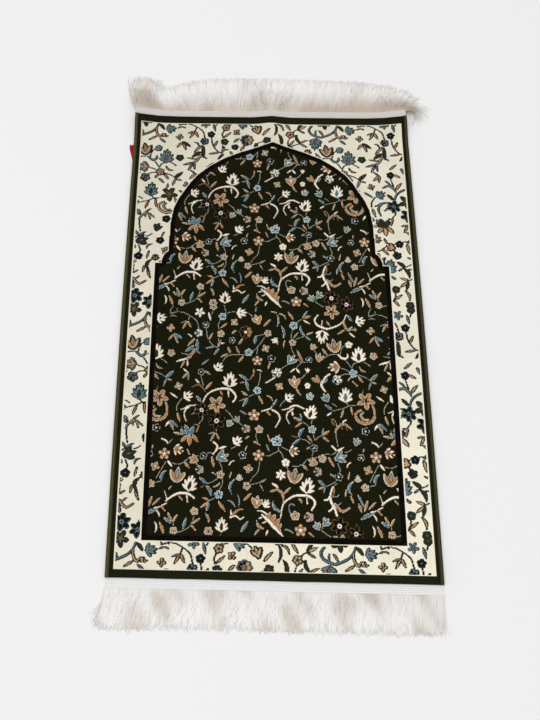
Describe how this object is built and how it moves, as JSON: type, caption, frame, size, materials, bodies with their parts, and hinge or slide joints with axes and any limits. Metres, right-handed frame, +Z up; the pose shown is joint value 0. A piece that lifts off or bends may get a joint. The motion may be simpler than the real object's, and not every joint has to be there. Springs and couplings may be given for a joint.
{
  "type": "prayer rug",
  "caption": "Flat woven pile prayer rug with an arched floral field, overcast long sides and a fringe on a ribbed tape at each end.",
  "frame": {"origin": "centre of the flat underside, on the floor", "axes": "+X to the right, +Y along the rug towards the point of the arch, +Z up"},
  "size_m": [0.7941, 1.3253, 0.0147],
  "materials": {
    "pile": "short dense cut pile, matt with a soft sheen",
    "overcast_yarn": "olive yarn wrapped closely round the edge",
    "tape_and_fringe": "white ribbed tape and fine cream synthetic yarn, softly shiny",
    "red_ribbon": "plain woven ribbon"
  },
  "bodies": {
    "root": {"pile_rug": "pile", "overcast_edge_left": "overcast_yarn", "overcast_edge_right": "overcast_yarn", "fringe_trim_top": "tape_and_fringe", "fringe_trim_bottom": "tape_and_fringe", "side_label": "red_ribbon"}
  },
  "joints": []
}
